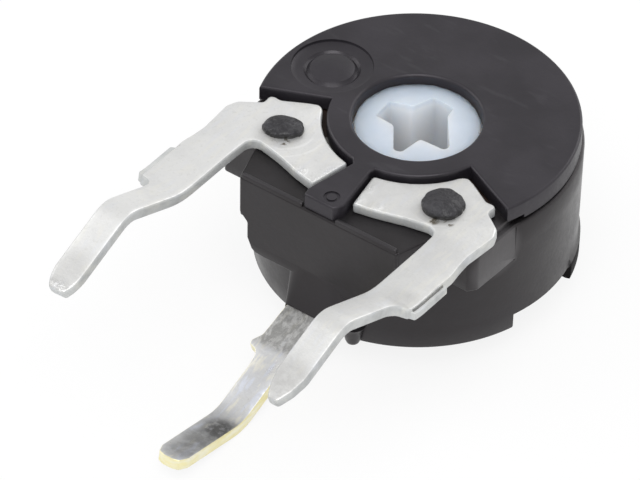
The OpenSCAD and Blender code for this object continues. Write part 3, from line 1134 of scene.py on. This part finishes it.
@dataclass
class Cover:
    """The black disc with its round hole, the two open windows and the rib between them."""

    low: float = 2.80
    high: float = 3.12
    radius: float = 3.15
    hole: float = 1.25
    edge: float = 0.12
    ring: float = 1.73
    window: float = 18.0
    rib_half: float = 0.39
    rib_end: float = 3.11
    rim_depth: float = 0.10
    neck_radius: float = 3.0
    rim_front: float = -0.73
    hole_edge: float = 0.07
    mark: Point2 = (-2.20, 0.22)
    mark_radius: float = 0.79
    button_radius: float = 0.47
    mark_depth: float = 0.10
    pin_mark: Point2 = (0.11, -2.86)
    pin_mark_depth: float = 0.03
    finish: MouldedPlastic = MouldedPlastic(
        "cover_black_plastic", (0.0115, 0.0102, 0.0132), (0.0185, 0.0166, 0.0208),
        roughness=(0.33, 0.50), rubbed=0.12, ior=1.5, tint=(0.985, 0.94, 1.0),
    )

    def build(self) -> bpy.types.Object:
        """Extrudes the plan, rounds its edges and sinks the marks.

        Returns:
            The finished piece.
        """
        body = Solid.prism(self._plan(), self.low, self.high)
        body.bevel(self.edge, 4, 30, lambda e: all(v.co.z > self.high - 0.01 for v in e.verts))
        body.cut(Solid.bar(self.hole, 0, 9, 128))
        body.bevel(self.hole_edge, 4, 40, lambda e: all(
            v.co.z > self.high - 0.01 and v.co.xy.length < self.hole + 0.01 for v in e.verts))
        dish = self._dish().move((*self.mark, self.high - self.mark_depth))
        ring = self._pin_mark().move((*self.pin_mark, self.high - self.pin_mark_depth))
        body.join(self._rim()).cut(dish, ring)
        piece = body.finish("moulded_cover", [self.finish.build()])
        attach(piece, "housing")
        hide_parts("cover")
        return piece

    def _rim(self) -> Solid:
        """Turns the rim that closes over the barrel's neck, round the back only.

        Returns:
            The rim.
        """
        foot, top, outer = self.low - self.rim_depth, self.low + 0.1, self.radius - 0.002
        profile = [(self.neck_radius, foot), (self.radius - 0.02, foot), (outer, foot + 0.018),
                   (outer, top), (self.neck_radius, top)]
        return Solid.turned(profile, 192).slice((0, self.rim_front, 0), (0, -1, 0))

    def _plan(self) -> list[Point2]:
        """Gives the outline without the hole: round the back, then each window and the rib.

        Returns:
            The outline's points.
        """
        start, root_angle = -self.window - 2.8, 9
        back = arc(self.radius, start, 180 - start, 150)
        ring_left = arc(self.ring, 180 + self.window, 270 - root_angle, 30)
        ring_right = arc(self.ring, 270 + root_angle, 360 - self.window, 30)
        half, end, root = self.rib_half, -self.rib_end, -self.ring - 0.10
        rib = [(-0.18, root), (-half - 0.02, end + 0.2), (-half + 0.01, end + 0.04), (-half + 0.05, end),
               (half - 0.08, end), (half - 0.02, end + 0.06), (half + 0.04, end + 0.2), (0.25, root)]
        return back + ring_left + rib + ring_right

    def _dish(self) -> Solid:
        """Turns the cutter of the round dish, with the button's hollow in it.

        Returns:
            The cutter, at height 0 where the button's groove starts.
        """
        b, d, r = self.button_radius, self.mark_depth, self.mark_radius
        profile = [
            (0, d - 0.010), (b * 0.45, d - 0.018), (b * 0.78, d - 0.036), (b - 0.035, 0.045), (b, 0.0),
            (b + 0.03, -0.022), (b + 0.055, -0.01), (b + 0.085, 0.024), (r - 0.11, 0.026),
            (r - 0.04, 0.040), (r, 0.052), (r + 0.012, d - 0.004), (r + 0.012, 1), (0, 1),
        ]
        return Solid.turned(profile, 96)

    def _pin_mark(self) -> Solid:
        """Turns the cutter of the ejector pin's ring on the rib."""
        return Solid.turned([(0.10, 0.004), (0.13, 0), (0.16, 0.004), (0.17, 0.3), (0.09, 0.3)], 48)


# ---------------------------------------------------------------- sheet metal


class Side(Enum):
    """The two sides of the part."""

    LEFT = -1
    RIGHT = 1


@dataclass(frozen=True)
class Bend:
    """The side view of a bent strip: the path of its top face, running towards lower Y."""

    path: tuple[Point2, ...]
    soft: float = 0.3

    def points(self) -> list[Vector]:
        """Gives the path with its corners rounded."""
        return [Vector(p) for p in rounded(self.path, self.soft, 8, closed=False)]

    def place(self, y: float, depth: float) -> Vector:
        """Finds where a point of the flat sheet goes.

        Args:
            y: place along the part.
            depth: distance below the top face.

        Returns:
            The new Y and Z.
        """
        line = self.points()
        a, b = next((pair for pair in zip(line, line[1:]) if y >= pair[1].x), line[-2:])
        s = (y - a.x) / (b.x - a.x)
        along = (b - a).normalized()
        return a + (b - a) * s + Vector((-along.y, along.x)) * depth

    def shape(self, solid: Solid, step: float = 0.08) -> Solid:
        """Bends a flat sheet whose top face lies at height 0.

        Args:
            solid: the flat sheet.
            step: distance between the cuts that let it bend.

        Returns:
            The bent sheet.
        """
        ends = [v.co.y for v in solid.bm.verts]
        low, high = min(ends), max(ends)
        y = low + step
        while y < high - step / 2:
            solid.slice((0, y, 0), (0, 1, 0), keep_all=True)
            y += step
        for v in solid.bm.verts:
            v.co.y, v.co.z = self.place(v.co.y, -v.co.z)
        return solid


def sheet(plan: Sequence[Point2], thickness: float, edge: float) -> Solid:
    """Stamps a flat piece whose top face lies at height 0.

    Args:
        plan: its outline.
        thickness: thickness of the metal.
        edge: rounding that the punch leaves on the edges.

    Returns:
        The flat sheet, its cut edges with material index 1.
    """
    solid = Solid.prism(plan, -thickness, 0)
    solid.bevel(edge, 3, 30, lambda e: abs(e.verts[0].co.z - e.verts[1].co.z) < 1e-6)
    for face in solid.bm.faces:
        face.material_index = 0 if abs(face.normal.z) > 0.9 else 1
    return solid


@dataclass
class OuterTerminal:
    """A stamped terminal with a plate under the rivet, a shoulder and a kinked pin."""

    side: Side
    top: float = 3.03
    thickness: float = 0.23
    drop: float = 0.12
    blunt: float = 0.0
    ring: float = 1.83
    pin_in: float = 2.22
    pin_out: float = 2.86
    tip: float = 7.92
    seat: float = 4.44
    shoulder: float = 3.27
    plate: float = 3.14
    plate_front: float = 2.70
    crook: float = 2.33
    corner: float = 1.57
    kink: float = 0.62
    kink_run: float = 1.6
    hole: float = 0.31
    corner_round: float = 0.065
    edge_round: float = 0.075
    bright: float = 0.74
    stains_and_shade: tuple[tuple[float, ...], ...] = ()
    scars: tuple[Point3, ...] = ()
    pressed: tuple[tuple[float, ...], ...] = ()
    burrs: tuple[Point2, ...] = ((0.36, -2.2), (0.42, -2.62), (0.9, -2.62))

    def build(self) -> bpy.types.Object:
        """Stamps the sheet, bends it and dresses it.

        Returns:
            The finished piece.
        """
        flat = sheet(rounded(self._plan(), self.corner_round), self.thickness, self.edge_round)
        flat.join(self._sheared_edge()).cut(Solid.bar(self.hole, -1, 1, 32).move((*RIVET, 0)))
        if self.side is Side.RIGHT:
            flat.cut(self._shear_groove())
        bend = Bend((
            (0, self.top), (-self.seat, self.top), (-self.seat - self.kink_run, self.top + self.kink),
            (-self.tip, self.top - self.drop),
        ))
        solid = bend.shape(flat)
        if self.blunt:
            self._tear_tip(solid)
        if self.side is Side.LEFT:
            solid = solid.mirrored()
        name = f"{self.side.name.lower()}_terminal"
        edge = TinPlate(
            f"{name}_cut_edge", (0.60, 0.61, 0.605), (0.47, 0.48, 0.48), roughness=(0.62, 0.8), metallic=0.5
        )
        piece = solid.finish(f"stamped_{name}", [self._tin(name).build(), edge.build()])
        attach(piece, "housing")
        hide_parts(name)
        return piece

    def _on_plate(self, x: float, y: float, depth: float = 0.0) -> Point3:
        """Gives a place on this side's plate, counted from the middle of the part."""
        return self.side.value * x, y, self.top - depth

    def _tin(self, name: str) -> TinPlate:
        """Gives the finish of the plate's faces, with its stained blotches and painted shade, scars, pressed
        arcs and burrs.

        Args:
            name: name of the terminal.

        Returns:
            The finish.
        """
        bright, dim = self.bright, self.bright - 0.09
        burrs = [self._on_plate(x, y) for x, y in self.burrs]
        if self.blunt:
            burrs.append(self._on_plate((self.pin_in + self.pin_out) / 2, 0.02 - self.tip, 0.13))
        return TinPlate(
            f"{name}_tin", (bright, bright, bright - 0.01), (dim, dim, dim - 0.005),
            roughness=(0.38, 0.56), burrs=tuple(burrs),
            stain_and_shade_balls=tuple((self._on_plate(x, y), *ball) for x, y, *ball in self.stains_and_shade),
            scars=tuple((self._on_plate(x, y), radius) for x, y, radius in self.scars),
            pressed=tuple(
                (self._on_plate(*RIVET), radius, self._on_plate(x, y), reach)
                for radius, x, y, reach in self.pressed
            ),
        )

    def _tear_tip(self, solid: Solid) -> None:
        """Leaves the end of the pin torn, as a worn cutting tool does.

        Args:
            solid: the bent terminal.
        """
        for k in range(4):
            solid.slice((0, 0.05 * k + 0.02 - self.tip, 0), (0, 1, 0), True)
            solid.slice((self.pin_in + 0.14 + 0.12 * k, 0, 0), (1, 0, 0), True)
        reach, ragged = 0.2, 0.035
        for v in solid.bm.verts:
            near = max(0.0, 1 - (v.co.y + self.tip) / reach)
            v.co += near * ragged * noise.noise_vector(v.co * 6.0)

    def _shear_groove(self) -> Solid:
        """Gives the fine groove between the plate and its sheared strip.

        Returns:
            The cutter.
        """
        inner, back, front = self.shoulder - 0.105, 0.93 - self.seat, 0.01 - self.seat
        plan = [(inner, front), (inner + 0.04, front), (inner + 0.045, back), (inner + 0.005, back + 0.02)]
        return Solid.prism(plan, -0.14, 0.1)

    def _sheared_edge(self) -> Solid:
        """Gives the narrow strip along the shoulder, which the shear left lower on the right terminal.

        Returns:
            The strip.
        """
        back, front = -self.seat + 1.02, -self.seat - 0.05
        plan = [(self.shoulder - 0.2, front), (self.shoulder, front + 0.05), (self.shoulder, back - 0.05),
                (self.shoulder - 0.2, back + 0.05)]
        strip = Solid.prism(plan, -self.thickness + 0.002, -0.06 if self.side is Side.RIGHT else -0.014)
        for face in strip.bm.faces:
            face.material_index = 1
        return strip.bevel(0.03)

    def _plan(self) -> list[Point2]:
        """Gives the right terminal's outline: plate, crook, pin, shoulder and back.

        Returns:
            The outline's corners, which are rounded later.
        """
        tip, seat, crook, corner = -self.tip, -self.seat, -self.crook, -self.corner
        front, back, side = -self.plate_front, self.shoulder, self.plate
        blunt, pin_in, pin_out = self.blunt, self.pin_in, self.pin_out
        early, late = tip + 0.60 - 2.8 * blunt, tip + 0.28 - 1.6 * blunt
        return arc(self.ring, -27.0, -79.5, 7) + [
            (0.31, -self.ring - 0.03), (0.47, front), (0.94, front + 0.10), (1.5, crook - 0.10),
            (pin_in - 0.24, crook), (pin_in - 0.10, crook - 0.03), (pin_in - 0.02, crook - 0.14),
            (pin_in, crook - 0.55), (pin_in, early), (pin_in + 0.07 - blunt / 4, late),
            (pin_in + 0.20 - blunt, tip), (pin_out - 0.22 + blunt, tip), (pin_out - 0.08 + blunt / 4, late),
            (pin_out, early), (pin_out, seat - 0.25), (pin_out + 0.09, seat - 0.12),
            (back - 0.12, seat - 0.08), (back - 0.09, seat), (back - 0.09, seat + 0.94),
            (back - 0.08, seat + 1.24), (side, crook - 0.57), (side - 0.03, crook - 0.27),
            (side + 0.03, corner - 0.28), (side - 0.07, corner - 0.05), (side - 0.48, corner + 0.23),
            (side - 0.46, corner + 0.43), (side - 0.55, corner + 0.49), (side - 0.70, corner + 0.47),
            (1.95, corner + 0.74), (1.76, corner + 0.82),
        ]


@dataclass
class WiperTerminal:
    """The middle terminal: a ring for the wiper and a strip that leaves through the nose."""

    ring_top: float = 1.10
    exit_top: float = 0.47
    thickness: float = 0.23
    ring_inner: float = 1.02
    ring_outer: float = 1.46
    seat: float = 4.44
    tip: float = 7.76
    nose: float = 3.45
    pin_half: float = 0.32
    drop: float = 0.57

    def build(self) -> bpy.types.Object:
        """Joins the ring to the bent strip.

        Returns:
            The finished piece.
        """
        solid = self.strip()
        low = self.ring_top - self.thickness
        ring = rectangle(self.ring_inner, low, self.ring_outer, self.ring_top)
        solid.join(Solid.turned(ring, 96))
        tin = TinPlate(
            "wiper_terminal_tin", (0.71, 0.71, 0.71), (0.60, 0.605, 0.62), (0.19, 0.188, 0.184),
            stain_and_shade_balls=(
                ((0.12, -6.36, -0.32), 0.30, 0.3, 0.95), ((0.10, -6.85, -0.2), 0.36, 0.3, 0.6),
                ((0.05, -7.38, -0.1), 0.30, 0.25, 0.55),
            ),
            roughness=(0.26, 0.48), streaks=0.6, metallic=0.86, dull_from=-4.36,
        )
        piece = solid.finish("stamped_wiper_terminal", [tin.build(), BareBrass().build()])
        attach(piece, "housing")
        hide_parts("wiper_terminal")
        return piece

    def strip(self, margin: float = 0.0) -> Solid:
        """Stamps and bends the strip.

        Args:
            margin: how much larger it is made on each side, for the slot that it lies in.

        Returns:
            The bent strip.
        """
        seat, tip, pin = -self.seat, -self.tip, self.pin_half
        half = [
            (0.45, -1.15), (0.51, -self.nose), (0.49, seat + 0.25), (0.60, seat + 0.05), (0.58, seat - 0.04),
            (0.42, seat - 0.08), (0.34, seat - 0.20), (pin, seat - 0.40), (pin, tip + 0.24),
            (pin - 0.08, tip + 0.05), (0.10, tip),
        ]
        plan = both_halves([(x + margin, y) for x, y in half])
        flat = sheet(rounded(plan, 0.03, 2), self.thickness + 2 * margin, 0.025)
        if margin:
            flat.slice((0, -self.nose - 0.6, 0), (0, -1, 0))
        ring_top, exit_seat = self.ring_top + margin, self.exit_top - 0.26
        path = (
            (-1.0, ring_top), (-2.3, ring_top), (-3.1, self.exit_top + 0.08 + margin),
            (seat, exit_seat + margin), (seat - 1.42, exit_seat - self.drop), (tip, self.exit_top - 0.50),
        )
        return Bend(path, 0.25).shape(flat)


# ---------------------------------------------------------------- the rotor


@dataclass
class Rotor:
    """The pale rotor: journal, hub, stop lug and a face with the arrow-shaped cross recess."""

    low: float = 0.50
    hub_low: float = 1.40
    hub_high: float = 2.74
    face: float = 2.93
    crown: float = 0.04
    journal: float = 0.90
    hub: float = 1.50
    boss: float = 1.20
    lug_half: float = 23.6
    lug_high: float = 0.5
    lug_reach: float = 0.16
    mouth: float = 0.095
    recess_floor: float = 1.62
    recess_round: float = 0.07
    ragged: float = 0.025
    recess: tuple[Point2, ...] = (
        (0.32, -0.34), (0.25, -0.85), (0.09, -0.89), (-0.33, -0.32), (-0.79, -0.28), (-0.83, 0.22),
        (-0.38, 0.36), (-0.22, 0.83), (0.28, 0.80), (0.33, 0.52), (0.89, -0.16), (0.85, -0.30),
    )
    finish: RotorPlastic = RotorPlastic()

    def build(self) -> bpy.types.Object:
        """Turns the rotor, sinks the recess and adds the lug.

        Returns:
            The finished piece.
        """
        body = self._turned()
        body.cut(Solid.prism(rounded(self.recess, self.recess_round), self.recess_floor, self.face + 1))
        body.bevel(self.mouth, 5, 35, lambda e: all(
            v.co.z > self.face - 0.01 and v.co.xy.length < 1.0 for v in e.verts))
        for v in body.bm.verts:
            if v.co.z > self.face - 0.005 and v.co.xy.length > self.boss - 0.05:
                v.co.z += self.ragged * noise.noise(v.co * 5.0)
        lug = rectangle(
            self.hub - 0.2, self.hub_low, self.hub + self.lug_reach, self.hub_low + self.lug_high
        )
        body.join(Solid.sector(lug, 90 - self.lug_half, 90 + self.lug_half, 24))
        piece = body.finish("moulded_rotor", [self.finish.build()], 40)
        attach(piece, "rotor")
        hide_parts("rotor")
        return piece

    def _turned(self) -> Solid:
        """Turns the plain body with its slightly domed face.

        Returns:
            The body, without its recess and lug.
        """
        ball = (self.boss**2 + self.crown**2) / (2 * self.crown)
        dome = [
            (r, self.face + self.crown - ball + math.sqrt(ball**2 - r**2))
            for r in ((self.boss - 0.07) * (1 - k / 10) for k in range(11))
        ]
        edge = 0.06
        return Solid.turned(
            [(0, self.low), (self.journal - 0.05, self.low), (self.journal, self.low + 0.05),
             (self.journal, self.hub_low), (self.hub, self.hub_low), (self.hub, self.hub_high),
             (self.boss, self.hub_high), (self.boss, self.face - edge), (self.boss, self.face + 0.015),
             (self.boss - 0.03, self.face + 0.015), *dome], 160,
        )


# ---------------------------------------------------------------- pieces that stay as packed


@dataclass
class InnerPieces:
    """The pieces inside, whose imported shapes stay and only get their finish."""

    nodes: Mapping[str, bpy.types.Object]

    def dress(self) -> None:
        """Gives each inner piece its material."""
        silver = Film("silver_film", (0.14, 0.135, 0.125), (0.24, 0.235, 0.22), 0.8, 0.45).build()
        carbon = Film("carbon_film", (0.012, 0.012, 0.013), (0.03, 0.03, 0.032), 0.0, 0.55).build()
        finishes = {
            "track_substrate": Laminate().build(),
            "carbon_track": carbon,
            "left_end_contact": silver,
            "right_end_contact": silver,
            "wiper_spring": BareBrass("spring_brass", (0.80, 0.60, 0.25), (0.78, 0.62, 0.30)).build(),
        }
        for name, material in finishes.items():
            mesh = self.nodes[name].data
            mesh.materials.clear()
            mesh.materials.append(material)
            log.info("dressed %s with %s", name, material.name)


# ---------------------------------------------------------------- studio


@dataclass(frozen=True)
class Studio:
    """A pale floor, soft light and the camera."""

    floor_half: float = 0.5
    floor_grey: float = 0.86
    floor_white: float = 0.86
    room_light: float = 0.70
    lens: float = 492.44
    eye: Point3 = (74.35, -103.55, 110.56)
    target: Point3 = (-0.427, -2.489, 1.5)
    roll: float = 0.846

    def build(self) -> None:
        """Makes the floor, the world, the lamps and the camera."""
        self._floor()
        self._world()
        self._lamp("key_light", (0.10, -0.16, 0.32), 0.26, 0.72)
        self._lamp("fill_light", (-0.34, -0.10, 0.20), 0.30, 0.36)
        self._lamp("back_light", (0.06, 0.38, 0.22), 0.30, 0.44)
        self._camera()

    def _floor(self) -> None:
        """Lays the floor under the lowest point of the part."""
        low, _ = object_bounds()
        gap = 0.02 * MM
        bm = bmesh.new()
        bmesh.ops.create_grid(bm, x_segments=1, y_segments=1, size=self.floor_half)
        bmesh.ops.translate(bm, verts=bm.verts, vec=(0, 0, low.z - gap))
        mesh = bpy.data.meshes.new("pale_floor")
        bm.to_mesh(mesh)
        bm.free()
        mesh.materials.append(self._pale())
        add_object("pale_floor", mesh)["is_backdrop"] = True

    def _pale(self) -> bpy.types.Material:
        """Makes the floor white to the eye and to reflections, with the part's shadow left on it.

        Returns:
            The new material.
        """
        material = bpy.data.materials.new("pale_floor")
        paint = Tree(material)
        paint.tree.nodes.clear()
        path = paint.add("LightPath").outputs
        seen = paint.larger(path["Is Camera Ray"], path["Is Glossy Ray"])
        matte = paint.add("BsdfDiffuse", {"Color": (self.floor_grey,) * 3})
        glow = paint.add("Emission", {"Color": (1, 1, 1), "Strength": 1.0})
        share = paint.times(seen, self.floor_white)
        mix = paint.add("MixShader", {0: share, 1: matte.outputs[0], 2: glow.outputs[0]})
        paint.add("OutputMaterial", {"Surface": mix.outputs[0]})
        return material

    def _world(self) -> None:
        """Lights the part evenly and shows white behind it."""
        world = bpy.data.worlds.new("soft_room")
        bpy.context.scene.world = world
        room = Tree(world)
        path = room.add("LightPath").outputs
        seen = room.larger(path["Is Camera Ray"], path["Is Transmission Ray"])
        level = room.add("MapRange", {"Value": seen, "To Min": self.room_light, "To Max": 1.0})
        ground = room.tree.nodes["Background"].inputs
        room.feed(ground["Color"], (1, 1, 1))
        room.feed(ground["Strength"], level.outputs["Result"])

    def _lamp(self, name: str, place: Point3, size: float, power: float) -> None:
        """Adds a soft square lamp aimed at the part.

        Args:
            name: name of the lamp.
            place: where it hangs, in metres.
            size: length of its side.
            power: its power in watts.
        """
        lamp = bpy.data.lights.new(name, "AREA")
        lamp.size, lamp.energy = size, power
        holder = add_object(name, lamp)
        holder.location = place
        holder.rotation_euler = (-Vector(place)).to_track_quat("-Z", "Y").to_euler()

    def _camera(self) -> None:
        """Sets the camera that the part is seen from."""
        data = bpy.data.cameras.new("camera")
        data.lens, data.sensor_width, data.sensor_fit = self.lens, 36.0, "HORIZONTAL"
        data.clip_start, data.clip_end = 0.005, 10.0
        camera = add_object("camera", data)
        eye = Vector(self.eye)
        aim = (Vector(self.target) - eye).to_track_quat("-Z", "Y").to_matrix().to_4x4()
        tilt = Matrix.Rotation(math.radians(self.roll), 4, "Z")
        camera.matrix_world = Matrix.Translation(eye * MM) @ aim @ tilt
        bpy.context.scene.camera = camera


def corners(box: tuple[Vector, Vector]) -> list[list[float]]:
    """Gives a box as plain lists."""
    return [list(box[0]), list(box[1])]


def main() -> None:
    """Builds the trimmer and its studio."""
    logging.basicConfig(level=logging.INFO, format="%(name)s: %(message)s")
    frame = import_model()
    bpy.context.scene.view_settings.view_transform = "Standard"
    cover_low, cover_high = box_mm("cover")
    _, housing_high = box_mm("housing")
    rotor_low, rotor_high = box_mm("rotor")
    deck, plate_top = housing_high.z - 0.43, housing_high.z - 0.20
    parts = [
        Housing(top=deck, radius=housing_high.y, head_high=housing_high.z),
        Cover(low=deck, high=cover_high.z, radius=cover_high.y, rib_end=0.07 - cover_low.y),
        OuterTerminal(
            Side.LEFT, top=plate_top, drop=0.15, blunt=0.08, bright=0.80,
            # the ball at the rivet is painted shade round its head; the others are darker blotches
            stains_and_shade=((1.87, -1.90, 0.46, 0.25, 0.22), (2.54, -7.6, 0.55, 0.5, 0.32)),
            scars=((1.64, -2.05, 0.11), (1.82, -2.10, 0.07), (3.25, -3.36, 0.10)),
            pressed=((0.62, 1.4, -2.05, 0.40), (0.84, 1.2, -2.1, 0.45)),
        ),
        OuterTerminal(
            Side.RIGHT, top=plate_top,
            # the ball at the rivet is painted shade round its head; the others are darker blotches
            stains_and_shade=(
                (1.87, -1.90, 0.46, 0.25, 0.22), (2.9, -4.35, 0.30, 0.3, 0.25), (2.54, -7.6, 0.55, 0.5, 0.5),
            ),
            scars=((1.98, -2.17, 0.10), (2.25, -2.04, 0.09)), pressed=((0.58, 1.9, -2.3, 0.35),),
        ),
        WiperTerminal(),
        Rotor(low=rotor_low.z, face=rotor_high.z - 0.04),
    ]
    for part in parts:
        piece = part.build()
        log.info("built %s: %d faces", piece.name, len(piece.data.polygons))
    InnerPieces(frame["nodes"]).dress()
    Studio().build()


if __name__ == "__main__":
    main()
